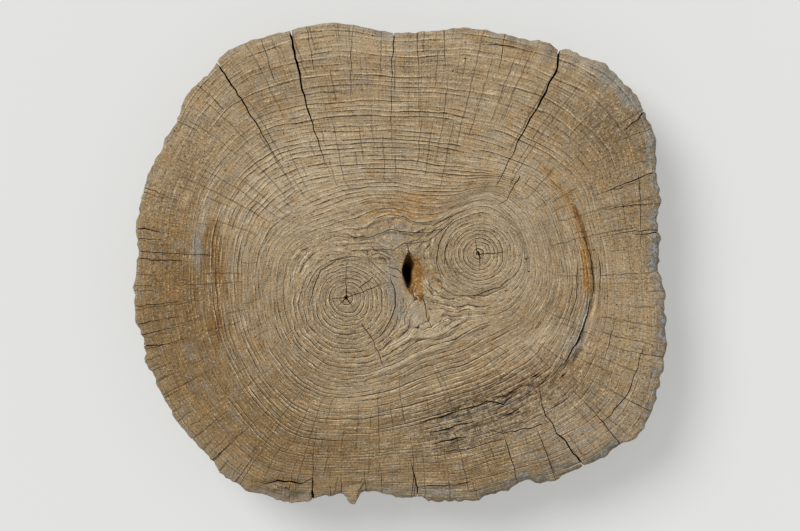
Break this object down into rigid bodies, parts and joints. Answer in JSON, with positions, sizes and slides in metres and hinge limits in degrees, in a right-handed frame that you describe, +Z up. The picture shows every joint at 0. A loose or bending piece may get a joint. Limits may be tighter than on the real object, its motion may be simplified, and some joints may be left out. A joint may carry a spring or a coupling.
{
  "type": "wood slice",
  "caption": "Thick barkless cross-cut disc of a twin trunk, with weathered ring relief, drying checks and a small hollow; lies flat as a table top, stand or display base.",
  "frame": {"origin": "middle of the underside's box, on the surface that the slice lies on", "axes": "+Z up, out of the ringed face; +X along the slice's longest side, with the side piths left and right of the hollow; +Y towards the edge with the three long checks"},
  "size_m": [0.6, 0.54, 0.09],
  "materials": {
    "weathered_wood": "bare, dry and weathered end grain, matt, tan with grey and amber patches"
  },
  "bodies": {
    "root": {"wood_slice": "weathered_wood"}
  },
  "joints": []
}
